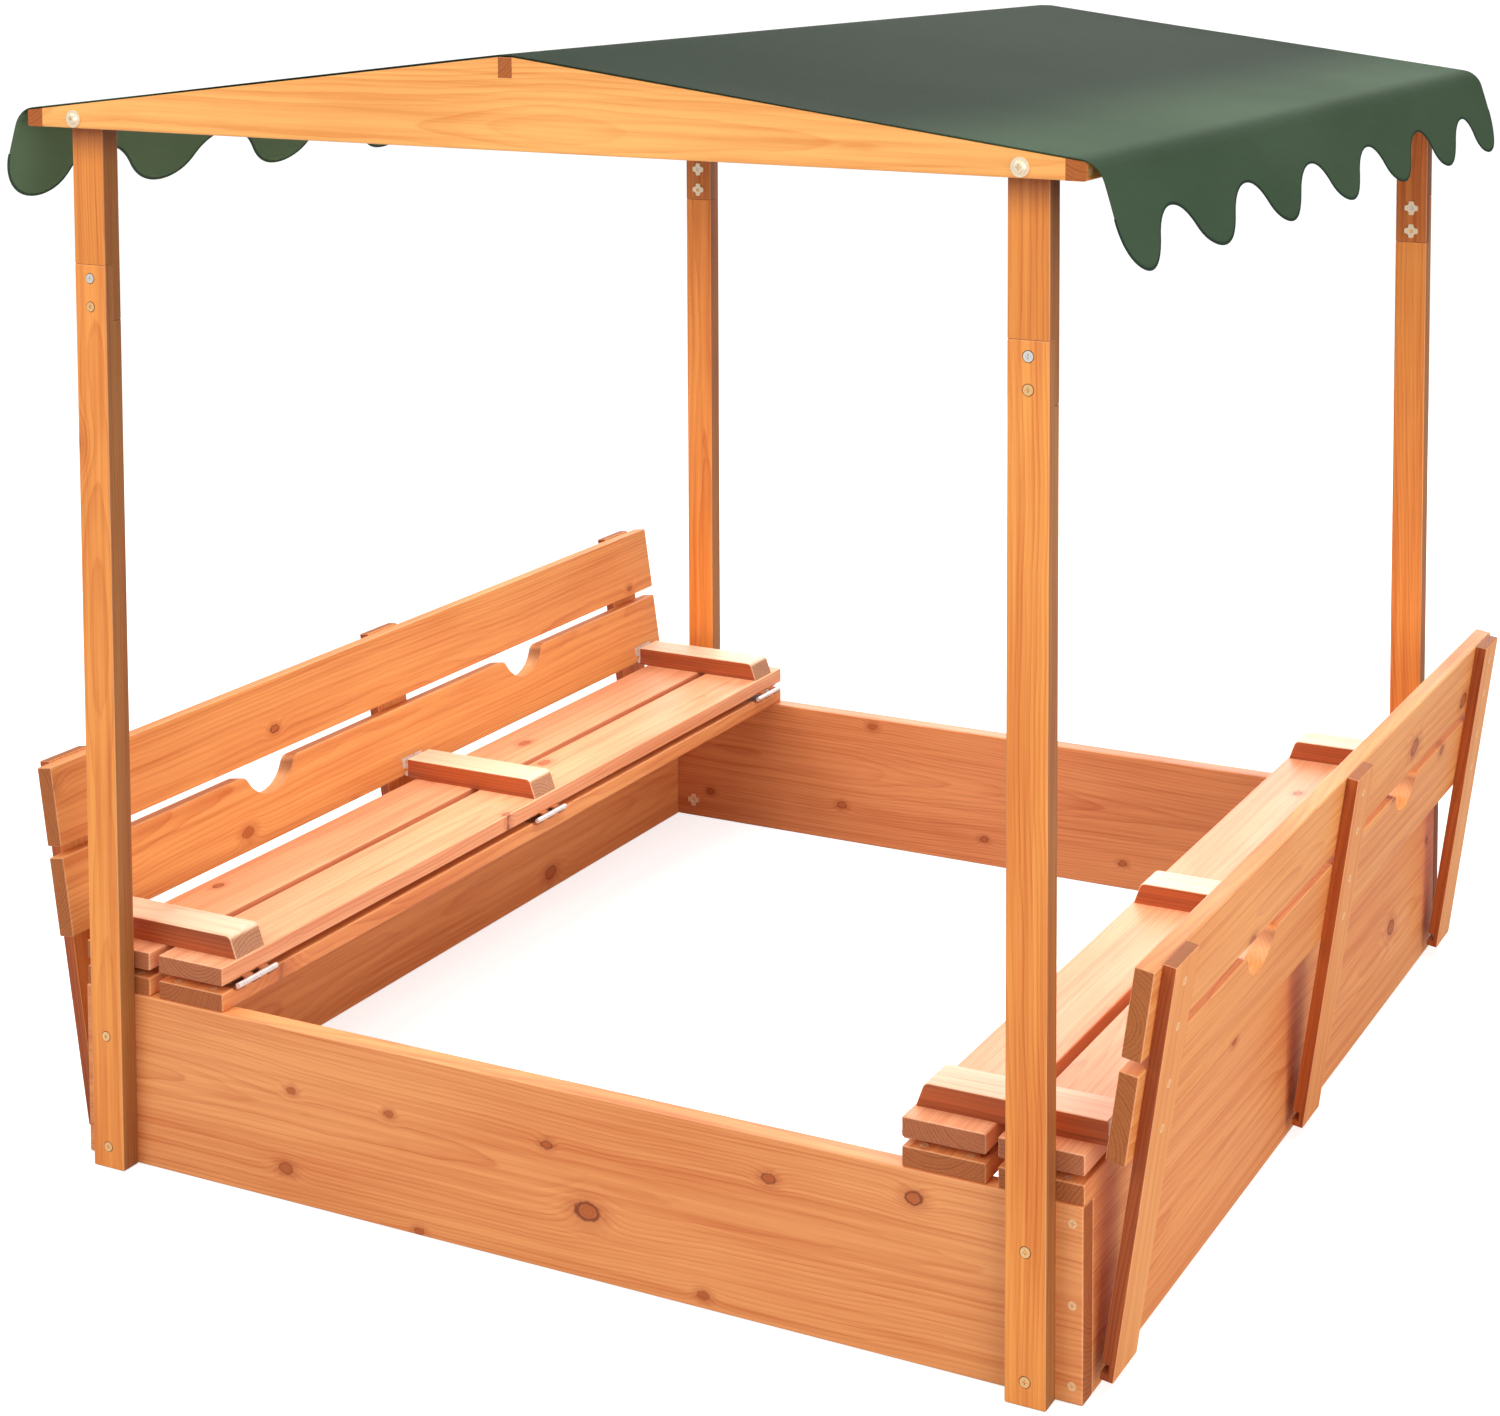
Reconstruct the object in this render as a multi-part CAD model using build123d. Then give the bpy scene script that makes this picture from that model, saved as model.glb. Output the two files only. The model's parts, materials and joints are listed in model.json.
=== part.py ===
from build123d import *
import math
import os

# Sandbox with a folding two-bench cover and a fabric roof. Millimetres, +Z up.
# Origin: centre of the footprint, on the ground. +X is the right-hand bench, -Y the front.

# ---- driving dimensions -------------------------------------------------------------
WIDTH = 1180.0                # outside of the sand box along X
DEPTH = 1180.0                # outside of the sand box along Y
WALL_HEIGHT = 187.0
WALL_THICKNESS = 22.0

SLAT_WIDTH = 87.0
SLAT_THICKNESS = 20.0
SLATS_ACROSS = 12             # slats that cover the box when both benches are closed
SLAT_END_GAP = 2.0            # slat ends stop this far inside the front and rear faces
LAYER_GAP = 8.2               # open height between fixed slats and seat slats
BOARD_EDGE = 2.0              # rounding on every board edge

BATTEN_WIDTH = 45.0
BATTEN_HEIGHT = 24.0
BATTEN_NOSE = 9.0             # how far the inner end leans back over its height
BATTEN_NOSE_RADIUS = 8.0
SUPPORT_INSET = 49.0          # from the front face to the first row of battens and legs

BACKREST_TILT = 8.5           # degrees past upright in the bench position
BACKREST_DROP = 0.3           # closed, the backrest slats sit this much above the seat slats
LEG_WIDTH = 58.0
LEG_THICKNESS = 14.0
LEG_LENGTH = 405.0
LEG_OVERSHOOT = 2.0           # leg top above the upper backrest slat
GRIP_WIDTH = 104.0            # finger cut-outs in the lower backrest slat
GRIP_DEPTH = 32.0
GRIP_OFFSET = 257.0           # from the middle of the depth
GRIP_SHOULDER = 14.0         # radius where a cut-out meets the slat's edge

POST_WIDTH = 42.0
POST_THICKNESS = 22.0
POST_INSET = 27.0             # from the wall end to the post
LAP_TOP = 980.0               # where the lower post ends
LAP_LENGTH = 60.0
POST_TOP = 1145.0

GABLE_BOTTOM = 1125.0
GABLE_THICKNESS = 18.0
EAVE_OVERHANG = 15.0          # outside of the eave beam past the wall end
EAVE_BEAM_WIDTH = 20.0
EAVE_HEIGHT = 17.0            # eave beam's outer face
APEX = 1215.0
RIDGE_WIDTH = 16.0
RIDGE_HEIGHT = 20.0

CANOPY_THICKNESS = 2.5
CANOPY_CLEARANCE = 0.4        # above the wood it lies on
VALANCE_DROP = 96.0           # eave to the lowest point of a lobe
VALANCE_FLARE = 24.0          # how far a lobe stands out at its lowest point
VALANCE_NOTCH = 48.0          # height of the gaps between lobes
LOBES = 7
END_LOBE = 130.0              # from the free edge to the middle of the first gap
LOBE_CORNER = 48.0            # rounding of the free corner of each end lobe

HINGE_RADIUS = 3.0
HINGE_LEAF = 1.5
HINGE_WEB = 2.6               # joins a knuckle to its leaf, hidden behind the knuckle
PIN_RADIUS = 1.5
PIN_CLEARANCE = 0.05
SEAT_HINGE_LENGTH = 60.0
SEAT_HINGE_REACH = 34.0
BACK_HINGE_LENGTH = 40.0
BACK_HINGE_REACH = 19.0
BACK_HINGE_OUTSET = 16.0      # backrest hinge axis outside the seat slats' outer edge
KNUCKLES = 5
KNUCKLE_GAP = 0.25

BOLT_RADIUS = 3.0
BASE_BOLT_HEIGHTS = (24.0, 146.0)
LAP_BOLT_DROPS = (15.0, 45.0)
GABLE_BOLT_HEIGHT = 1135.0
WALL_SCREW_HEIGHTS = (17.0, 93.0, 170.0)
WALL_SCREW_LENGTH = 42.0
BEAM_SCREW_LENGTH = 45.0
LEG_SCREW_LENGTH = 28.0
SLAT_SCREW_SHIFTS = (-24.0, 24.0)     # either side of a slat's middle
OUTER_BATTEN_SHIFTS = (-20.0, 20.0)
INNER_BATTEN_SHIFTS = (2.0, 28.0)     # clear of the hinge leaf below
LEG_SCREW_SHIFTS = (-22.0, 22.0)
SEAT_LEAF_SHIFTS = (-20.0, 20.0)      # screws along a seat hinge leaf
BACK_LEAF_SHIFTS = (-12.0, 12.0)
SEAT_LEAF_SCREW = 0.6                 # share of the leaf's reach where its screws sit
BACK_LEAF_SCREW = 0.66
TEE_FLANGE_RADIUS = 9.0
TEE_BARREL_RADIUS = 4.0
TEE_BARREL_LENGTH = 8.0
PAD_SIZE = (26.0, 34.0)               # rubber rests between the two layers of slats
PAD_INSET = 28.0
PAD_SLACK = 0.5

# ---- derived ------------------------------------------------------------------------
SLAT_GAP = (WIDTH - SLATS_ACROSS * SLAT_WIDTH) / (SLATS_ACROSS - 1)
PANEL_WIDTH = 2 * SLAT_WIDTH + SLAT_GAP
HALF_WIDTH = WIDTH / 2
HALF_DEPTH = DEPTH / 2
FIXED_TOP = WALL_HEIGHT + SLAT_THICKNESS
SEAT_BOTTOM = FIXED_TOP + LAYER_GAP
SEAT_TOP = SEAT_BOTTOM + SLAT_THICKNESS
LEAF_OFFSET = LAYER_GAP / 2
SEAT_AXIS_X = HALF_WIDTH - PANEL_WIDTH - SLAT_GAP / 2
SEAT_AXIS_Z = FIXED_TOP + LEAF_OFFSET
BACK_AXIS_X = HALF_WIDTH + BACK_HINGE_OUTSET
BACK_AXIS_Z = SEAT_TOP - BACKREST_DROP + LEAF_OFFSET
BATTEN_END_X = BACK_AXIS_X - LEAF_OFFSET
BACK_BOTTOM = SLAT_GAP - BACK_HINGE_OUTSET
BACK_FRONT = LEAF_OFFSET
LEG_FRONT = BACK_FRONT + SLAT_THICKNESS
LEG_TOP = BACK_BOTTOM + PANEL_WIDTH + LEG_OVERSHOOT
LEG_BOTTOM = LEG_TOP - LEG_LENGTH
KNUCKLE_RELIEF = BACK_AXIS_X - SEAT_AXIS_X
SLAT_END = HALF_DEPTH - SLAT_END_GAP
SUPPORTS = {
    "front": SUPPORT_INSET - HALF_DEPTH,
    "middle": 0.0,
    "rear": HALF_DEPTH - SUPPORT_INSET,
}
POST_X = HALF_WIDTH - POST_INSET - POST_WIDTH / 2
POST_FACE = HALF_DEPTH + POST_THICKNESS
ROOF_END = POST_FACE + GABLE_THICKNESS
ROOF_HALF = HALF_WIDTH + EAVE_OVERHANG
GABLE_HALF = ROOF_HALF - EAVE_BEAM_WIDTH
RIDGE_HALF = RIDGE_WIDTH / 2
ROOF_SLOPE = (APEX - GABLE_BOTTOM - EAVE_HEIGHT) / (ROOF_HALF - RIDGE_HALF)


def roof_height(x):
    """Top of the roof timbers at a distance x from the ridge line."""
    return APEX - ROOF_SLOPE * max(abs(x) - RIDGE_HALF, 0)


def board(x, y, z, edge=BOARD_EDGE):
    """A planed board between pairs of faces, with all its edges rounded."""
    size = (x[1] - x[0], y[1] - y[0], z[1] - z[0])
    centre = ((x[0] + x[1]) / 2, (y[0] + y[1]) / 2, (z[0] + z[1]) / 2)
    box = Box(*size)
    return Pos(*centre) * fillet(box.edges(), edge)


def prism_y(points, y):
    """A profile of (x, z) points extruded along Y between two faces."""
    outline = Polyline(*[(px, y[0], pz) for px, pz in points], close=True)
    return extrude(make_face(outline), amount=y[1] - y[0], dir=(0, 1, 0))


def waved_half(half, height, shoulder):
    """Two tangent arcs in Y and Z, from (half, 0) through a shoulder to a crown at (0, height)."""
    crown = (half ** 2 + height ** 2) / (2 * height) - shoulder
    share = crown / (crown + shoulder)
    meet_y, meet_z = share * half, (height - crown) + share * (shoulder + crown - height)
    turn = math.atan2(half - meet_y, shoulder - meet_z) / 2
    mid_y, mid_z = half - shoulder * math.sin(turn), shoulder * (1 - math.cos(turn))
    top_y, top_z = crown * math.sin(turn), height - crown * (1 - math.cos(turn))
    rise = ThreePointArc((0, half, 0), (0, mid_y, mid_z), (0, meet_y, meet_z))
    return [rise, ThreePointArc((0, meet_y, meet_z), (0, top_y, top_z), (0, 0, height))]


def waved_cutter(right, left, length):
    """A cutter along X with a round top, between two (half, height, shoulder) sides."""
    edges = waved_half(*right)
    edges += [mirror(edge, about=Plane.XZ) for edge in waved_half(*left)]
    below = Polyline((0, -left[0], 0), (0, -left[0], -5), (0, right[0], -5), (0, right[0], 0))
    face = make_face(edges + [below])
    return Pos(-length / 2, 0, 0) * extrude(face, amount=length, dir=(1, 0, 0))


def mirrored(shape):
    """The same piece for the left-hand bench."""
    return mirror(shape, about=Plane.YZ)


# ---- fasteners ----------------------------------------------------------------------
def cross_recess(width, depth):
    slot = Box(width, width / 4, 2 * depth)
    return slot + Rot(0, 0, 90) * slot


def turned(steps, length, radius):
    """Head discs or cones below z = 0, then a shank: [(top radius, bottom radius, height)]."""
    body = Pos(0, 0, -length / 2) * Cylinder(radius, length)
    top = 0.0
    for upper, lower, height in steps:
        place = Pos(0, 0, top - height / 2)
        step = Cylinder(upper, height) if upper == lower else Cone(lower, upper, height)
        body = body + place * step
        top -= height
    return body


def wood_screw(length=34.0, head=4.2, radius=2.0):
    plain = turned([(head, radius, head - radius)], length, radius)
    return plain, plain - cross_recess(head * 1.1, 1.2)


def hinge_screw():
    plain = turned([(3.0, 1.6, HINGE_LEAF)], 13.0, 1.6)
    return plain, plain - cross_recess(3.4, 0.8)


def recessed_bolt(length):
    """Pan-head bolt that sits in a counterbore: its head stands 0.6 proud of the wood."""
    proud, sunk = 0.6, 2.0
    head = Pos(0, 0, proud - (proud + sunk) / 2) * Cylinder(5.0, proud + sunk)
    shank = Pos(0, 0, -length / 2) * Cylinder(BOLT_RADIUS, length)
    bore = Pos(0, 0, -sunk / 2) * Cylinder(5.8, sunk)
    recess = Pos(0, 0, proud) * cross_recess(5.0, 1.4)
    return shank + bore, shank + head - recess


def flanged_bolt(length):
    """Bolt with a wide washer face under a domed head."""
    shank = Pos(0, 0, -length / 2) * Cylinder(BOLT_RADIUS, length)
    flange = Pos(0, 0, 0.8) * Cylinder(9.0, 1.6)
    dome = Pos(0, 0, 3.2) * Cone(6.0, 4.2, 3.2)
    recess = Pos(0, 0, 4.8) * cross_recess(5.5, 2.4)
    return shank, shank + flange + dome - recess


def tee_nut():
    """Four-lobed tee nut: flange on the wood, threaded barrel inside it."""
    flange = Pos(0, 0, 0.7) * Cylinder(TEE_FLANGE_RADIUS, 1.4)
    for angle in range(45, 405, 90):
        flange -= Rot(0, 0, angle) * Pos(TEE_FLANGE_RADIUS + 0.8, 0, 0.7) * Cylinder(3.6, 1.4)
    barrel = Pos(0, 0, -TEE_BARREL_LENGTH / 2) * Cylinder(TEE_BARREL_RADIUS, TEE_BARREL_LENGTH)
    thread = Cylinder(BOLT_RADIUS, 4 * TEE_BARREL_LENGTH)
    return barrel, flange + barrel - thread


class Fasteners:
    """Places copies of a fastener and keeps the holes they need in the wood."""

    def __init__(self):
        self.solids = []
        self.holes = []

    def add(self, kind, point, outward):
        plain, solid = kind
        place = Plane(origin=point, z_dir=outward).location
        self.solids.append(place * solid)
        self.holes.append(place * plain)

    def group(self):
        return Compound(children=[part.solid() for part in self.solids])


def drilled(piece, *groups):
    """The piece with the holes of every fastener that reaches it."""
    reach = piece.bounding_box()
    holes = []
    for group in groups:
        for hole in group.holes:
            box = hole.bounding_box()
            if boxes_meet(reach, box):
                holes.append(hole)
    return piece.cut(*holes) if holes else piece


def boxes_meet(a, b):
    return all(
        low < high
        for low, high in (
            (a.min.X, b.max.X), (b.min.X, a.max.X),
            (a.min.Y, b.max.Y), (b.min.Y, a.max.Y),
            (a.min.Z, b.max.Z), (b.min.Z, a.max.Z),
        )
    )


# ---- hinges -------------------------------------------------------------------------
def knuckle_span(index, length):
    """Y range of one knuckle, counted from the hinge's front end."""
    pitch = length / KNUCKLES
    start = -length / 2 + index * pitch
    return start + KNUCKLE_GAP / 2, start + pitch - KNUCKLE_GAP / 2


def hinge_leaf(length, reach, knuckles, bore):
    """Leaf that leaves its axis (the Y axis) along +X, its outer face below the axis.

    The plate lies between -LEAF_OFFSET - HINGE_LEAF and -LEAF_OFFSET in Z. It stops short
    of the other leaf's knuckles.
    """
    low, high = -LEAF_OFFSET - HINGE_LEAF, -LEAF_OFFSET
    clear = SLAT_GAP / 2
    plate = Pos((clear + reach) / 2, 0, (low + high) / 2) * Box(reach - clear, length, HINGE_LEAF)
    for index in knuckles:
        y0, y1 = knuckle_span(index, length)
        middle, width = (y0 + y1) / 2, y1 - y0
        tongue = Pos((clear + 1) / 2, middle, (low + high) / 2) * Box(clear + 1, width, HINGE_LEAF)
        web = Pos(HINGE_WEB / 2, middle, low / 2) * Box(HINGE_WEB, width, -low)
        barrel = Pos(0, middle, 0) * Rot(90, 0, 0) * Cylinder(HINGE_RADIUS, width)
        plate = plate + tongue + web + barrel
    return plate - Rot(90, 0, 0) * Cylinder(bore, length + 2)


def hinge_pin(length):
    return Rot(90, 0, 0) * Cylinder(PIN_RADIUS, length - KNUCKLE_GAP)


OUTER_KNUCKLES = (0, 2, 4)
INNER_KNUCKLES = (1, 3)
RUNNING_BORE = PIN_RADIUS + PIN_CLEARANCE


def seat_hinge_place(y):
    return Pos(SEAT_AXIS_X, y, SEAT_AXIS_Z)


def back_hinge_place(y):
    return Pos(BACK_AXIS_X, y, BACK_AXIS_Z)


def backrest_place():
    """Frame of the tilted backrest: local Z runs up its face, local X out through it."""
    return Pos(BACK_AXIS_X, 0, BACK_AXIS_Z) * Rot(0, BACKREST_TILT, 0)


# ---- sand box -----------------------------------------------------------------------
def walls(screws, bolts, nuts):
    x, y, z = (-HALF_WIDTH, HALF_WIDTH), (-HALF_DEPTH, WALL_THICKNESS - HALF_DEPTH), (0, WALL_HEIGHT)
    front = drilled(board(x, y, z), screws, bolts, nuts)
    rear = drilled(board(x, (-y[1], -y[0]), z), screws, bolts, nuts)
    side_y = (y[1], -y[1])
    right = drilled(board((HALF_WIDTH - WALL_THICKNESS, HALF_WIDTH), side_y, z), screws)
    left = drilled(board((-HALF_WIDTH, WALL_THICKNESS - HALF_WIDTH), side_y, z), screws)
    return {"front_wall": front, "rear_wall": rear, "left_wall": left, "right_wall": right}


def fixed_slats(screws, leaves):
    """Two slats per side, screwed to the tops of the walls."""
    outer = board((HALF_WIDTH - SLAT_WIDTH, HALF_WIDTH), (-SLAT_END, SLAT_END), (WALL_HEIGHT, FIXED_TOP))
    inner = Pos(-SLAT_WIDTH - SLAT_GAP, 0, 0) * outer
    pieces = {}
    for name, slat in (("inner", inner), ("outer", outer)):
        cut = slat.cut(*leaves) if name == "inner" else slat
        pieces[f"right_{name}_fixed_slat"] = drilled(cut, screws)
        pieces[f"left_{name}_fixed_slat"] = drilled(mirrored(cut), screws)
    return pieces


def frame_screws():
    """Wall corners, fixed slats and the roof timbers, for the whole frame."""
    screws = Fasteners()
    for sx in (-1, 1):
        for sy in (-1, 1):
            for height in WALL_SCREW_HEIGHTS:
                corner = (sx * (HALF_WIDTH - WALL_THICKNESS / 2), sy * HALF_DEPTH, height)
                screws.add(wood_screw(WALL_SCREW_LENGTH), corner, (0, sy, 0))
            for slat in (0, 1):
                centre = HALF_WIDTH - SLAT_WIDTH / 2 - slat * (SLAT_WIDTH + SLAT_GAP)
                for shift in SLAT_SCREW_SHIFTS:
                    over_wall = sy * (HALF_DEPTH - WALL_THICKNESS / 2)
                    screws.add(wood_screw(), (sx * (centre + shift), over_wall, FIXED_TOP), (0, 0, 1))
            end = sy * (ROOF_END - GABLE_THICKNESS / 2)
            beam = (sx * ROOF_HALF, end, GABLE_BOTTOM + EAVE_HEIGHT / 2)
            screws.add(wood_screw(BEAM_SCREW_LENGTH), beam, (sx, 0, 0))
        for y in (-DEPTH / 4, DEPTH / 4):
            over_side = sx * (HALF_WIDTH - WALL_THICKNESS / 2)
            screws.add(wood_screw(), (over_side, y, FIXED_TOP), (0, 0, 1))
    for sy in (-1, 1):
        screws.add(wood_screw(), (0, sy * (ROOF_END - GABLE_THICKNESS / 2), APEX), (0, 0, 1))
    return screws


def fixed_leaf_screws():
    """Screws of the fixed hinge leaves on the right-hand side."""
    screws = Fasteners()
    for y in SUPPORTS.values():
        for shift in SEAT_LEAF_SHIFTS:
            place = (SEAT_AXIS_X + SEAT_HINGE_REACH * SEAT_LEAF_SCREW, y + shift, FIXED_TOP)
            screws.add(hinge_screw(), place, (0, 0, 1))
    return screws


def rest_pads():
    """Spacers that carry the outer edge of an opened seat."""
    height = LAYER_GAP - PAD_SLACK
    pads = []
    for y in SUPPORTS.values():
        pad = Pos(HALF_WIDTH - PAD_INSET, y, FIXED_TOP + height / 2) * Box(*PAD_SIZE, height)
        pad = fillet(pad.edges().filter_by(Axis.Z), 4.0)
        pads += [pad, mirrored(pad)]
    return Compound(children=[pad.solid() for pad in pads])


# ---- posts and roof -----------------------------------------------------------------
def frame_bolts():
    """Bolts with their tee nuts, on both ends of the frame."""
    base, lap, gable, nuts = Fasteners(), Fasteners(), Fasteners(), Fasteners()
    inner = HALF_DEPTH - WALL_THICKNESS
    for sx in (-1, 1):
        for sy in (-1, 1):
            x, out, back = sx * POST_X, (0, sy, 0), (0, -sy, 0)
            for z in BASE_BOLT_HEIGHTS:
                base.add(recessed_bolt(POST_FACE - inner), (x, sy * POST_FACE, z), out)
                nuts.add(tee_nut(), (x, sy * inner, z), back)
            for drop in LAP_BOLT_DROPS:
                lap.add(recessed_bolt(POST_THICKNESS), (x, sy * POST_FACE, LAP_TOP - drop), out)
                nuts.add(tee_nut(), (x, sy * HALF_DEPTH, LAP_TOP - drop), back)
            gable.add(flanged_bolt(ROOF_END - HALF_DEPTH), (x, sy * ROOF_END, GABLE_BOLT_HEIGHT), out)
            nuts.add(tee_nut(), (x, sy * HALF_DEPTH, GABLE_BOLT_HEIGHT), back)
    return base, lap, gable, nuts


def posts(base, lap, gable, nuts):
    """Two-piece posts: the lower piece laps outside, the upper piece inside."""
    pieces = {}
    half = POST_THICKNESS / 2
    x = (POST_X - POST_WIDTH / 2, POST_X + POST_WIDTH / 2)
    lap_bottom = LAP_TOP - LAP_LENGTH
    lower = board(x, (-POST_FACE, -HALF_DEPTH), (0, LAP_TOP))
    lower -= Pos(POST_X, -HALF_DEPTH, lap_bottom + LAP_LENGTH) * Box(POST_WIDTH, 2 * half, 2 * LAP_LENGTH)
    upper = board(x, (-POST_FACE, -HALF_DEPTH), (lap_bottom, POST_TOP))
    upper -= Pos(POST_X, -POST_FACE, lap_bottom) * Box(POST_WIDTH, 2 * half, 2 * LAP_LENGTH)
    for end in ("front", "rear"):
        for side in ("right", "left"):
            for level, post in (("lower", lower), ("upper", upper)):
                placed = post if end == "front" else mirror(post, about=Plane.XZ)
                placed = placed if side == "right" else mirrored(placed)
                pieces[f"{end}_{side}_{level}_post"] = drilled(placed, base, lap, gable, nuts)
    return pieces


def gables(screws, bolts):
    """Triangular boards, notched at the apex for the ridge beam."""
    notch = APEX - RIDGE_HEIGHT
    outline = [
        (-GABLE_HALF, GABLE_BOTTOM), (GABLE_HALF, GABLE_BOTTOM), (GABLE_HALF, roof_height(GABLE_HALF)),
        (RIDGE_HALF, APEX), (RIDGE_HALF, notch), (-RIDGE_HALF, notch), (-RIDGE_HALF, APEX),
        (-GABLE_HALF, roof_height(GABLE_HALF)),
    ]
    front = prism_y(outline, (-ROOF_END, -POST_FACE))
    bottom = front.edges().filter_by(Axis.X).group_by(Axis.Z)[0]
    front = fillet(bottom, BOARD_EDGE)
    rear = mirror(front, about=Plane.XZ)
    return {
        "front_gable": drilled(front, screws, bolts),
        "rear_gable": drilled(rear, screws, bolts),
    }


def roof_beams(screws):
    ridge = board((-RIDGE_HALF, RIDGE_HALF), (-ROOF_END, ROOF_END), (APEX - RIDGE_HEIGHT, APEX), 0.8)
    profile = [
        (GABLE_HALF, GABLE_BOTTOM), (ROOF_HALF, GABLE_BOTTOM),
        (ROOF_HALF, roof_height(ROOF_HALF)), (GABLE_HALF, roof_height(GABLE_HALF)),
    ]
    eave = prism_y(profile, (-ROOF_END, ROOF_END))
    outer = eave.edges().filter_by(Axis.Y).group_by(Axis.X)[-1]
    eave = fillet(outer, 2.5)
    return {
        "ridge_beam": drilled(ridge, screws),
        "right_eave_beam": drilled(eave, screws),
        "left_eave_beam": drilled(mirrored(eave), screws),
    }


def lobe_gaps():
    """Middles of the gaps between lobes, from the front to the rear."""
    first = END_LOBE - ROOF_END
    pitch = -2 * first / (LOBES - 2)
    return [first + index * pitch for index in range(LOBES - 1)]


def valance_notch(y, behind, ahead):
    """The gap between two lobes: a round top that runs tangent into both lobe bottoms."""
    hem = GABLE_BOTTOM + EAVE_HEIGHT - VALANCE_DROP
    sides = []
    for half in (ahead, behind):
        even_radius = (half ** 2 + VALANCE_NOTCH ** 2) / (4 * VALANCE_NOTCH)
        sides.append((half, VALANCE_NOTCH, even_radius))
    return Pos(0, y, hem) * waved_cutter(*sides, 2 * ROOF_HALF + WIDTH)


def valance_corner(end):
    """What is cut away to round the free lower corner of an end lobe."""
    hem = GABLE_BOTTOM + EAVE_HEIGHT - VALANCE_DROP
    radius = LOBE_CORNER
    block = Box(2 * (ROOF_HALF + WIDTH), 2 * radius, 2 * radius)
    drum = Pos(0, -end * radius, radius) * Rot(0, 90, 0) * Cylinder(radius, 2 * (ROOF_HALF + WIDTH))
    above = Pos(0, 0, 2 * radius) * block
    inward = Pos(0, -end * 2 * radius, 0) * block
    return Pos(0, end * ROOF_END, hem) * (block - drum - above - inward)


def canopy():
    """Fabric roof: two slopes, each ending in a flared valance with rounded lobes."""
    gap, thick = CANOPY_CLEARANCE, CANOPY_THICKNESS
    eave = GABLE_BOTTOM + EAVE_HEIGHT
    hem = eave - VALANCE_DROP
    inner = [(0, APEX + gap), (RIDGE_HALF, APEX + gap), (ROOF_HALF + gap, eave + gap),
             (ROOF_HALF + VALANCE_FLARE, hem)]
    outer = [(ROOF_HALF + VALANCE_FLARE + thick, hem), (ROOF_HALF + gap + thick, eave + gap + thick),
             (RIDGE_HALF, APEX + gap + thick), (0, APEX + gap + thick)]
    half = prism_y(inner + outer, (-ROOF_END, ROOF_END))
    gaps = lobe_gaps()
    inner_half, end_half = (gaps[1] - gaps[0]) / 2, END_LOBE - LOBE_CORNER
    for y in gaps:
        behind = end_half if y == gaps[0] else inner_half
        ahead = end_half if y == gaps[-1] else inner_half
        half -= valance_notch(y, behind, ahead)
    half = half - valance_corner(-1) - valance_corner(1)
    return half + mirrored(half)


# ---- benches (right-hand side; the left is mirrored) --------------------------------
def seat_slats(leaves, screws):
    y, z = (-SLAT_END, SLAT_END), (SEAT_BOTTOM, SEAT_TOP)
    outer = board((HALF_WIDTH - SLAT_WIDTH, HALF_WIDTH), y, z)
    inner = Pos(-SLAT_WIDTH - SLAT_GAP, 0, 0) * outer
    return {
        "seat_inner_slat": drilled(inner.cut(*leaves), screws),
        "seat_outer_slat": drilled(outer, screws),
    }


def seat_batten(y):
    inner = HALF_WIDTH - PANEL_WIDTH + BOARD_EDGE
    top = SEAT_TOP + BATTEN_HEIGHT
    profile = [(inner, SEAT_TOP), (BATTEN_END_X, SEAT_TOP), (BATTEN_END_X, top), (inner + BATTEN_NOSE, top)]
    piece = prism_y(profile, (y - BATTEN_WIDTH / 2, y + BATTEN_WIDTH / 2))
    nose = piece.edges().filter_by(Axis.Y).group_by(Axis.Z)[-1].sort_by(Axis.X)[0]
    piece = fillet(nose, BATTEN_NOSE_RADIUS)
    long_edges = piece.faces().sort_by(Axis.Z)[-1].edges().filter_by(Axis.X)
    return fillet(long_edges, BOARD_EDGE)


def seat_leaves():
    """Moving leaves of the seat hinges, then the seat's leaves of the backrest hinges."""
    under = hinge_leaf(SEAT_HINGE_LENGTH, SEAT_HINGE_REACH, INNER_KNUCKLES, PIN_RADIUS)
    under = mirror(under, about=Plane.XY)
    upright = hinge_leaf(BACK_HINGE_LENGTH, BACK_HINGE_REACH, OUTER_KNUCKLES, PIN_RADIUS)
    upright = mirror(Rot(0, -90, 0) * upright, about=Plane.YZ)
    rows = SUPPORTS.values()
    return [seat_hinge_place(y) * under for y in rows], [back_hinge_place(y) * upright for y in rows]


def seat_screws():
    """Slats to battens from below, and both kinds of hinge leaf."""
    screws = Fasteners()
    for y in SUPPORTS.values():
        for slat in (0, 1):
            centre = HALF_WIDTH - SLAT_WIDTH / 2 - slat * (SLAT_WIDTH + SLAT_GAP)
            shifts = OUTER_BATTEN_SHIFTS if slat == 0 else INNER_BATTEN_SHIFTS
            for shift in shifts:
                screws.add(wood_screw(), (centre + shift, y, SEAT_BOTTOM), (0, 0, -1))
        for shift in SEAT_LEAF_SHIFTS:
            under = (SEAT_AXIS_X + SEAT_HINGE_REACH * SEAT_LEAF_SCREW, y + shift, SEAT_BOTTOM)
            screws.add(hinge_screw(), under, (0, 0, -1))
        for shift in BACK_LEAF_SHIFTS:
            end = (BATTEN_END_X, y + shift, BACK_AXIS_Z + BACK_HINGE_REACH * BACK_LEAF_SCREW)
            screws.add(hinge_screw(), end, (1, 0, 0))
    return screws


def hinge_pins():
    pins = []
    for y in SUPPORTS.values():
        pins.append(seat_hinge_place(y) * hinge_pin(SEAT_HINGE_LENGTH))
        pins.append(back_hinge_place(y) * hinge_pin(BACK_HINGE_LENGTH))
    return pins


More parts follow.
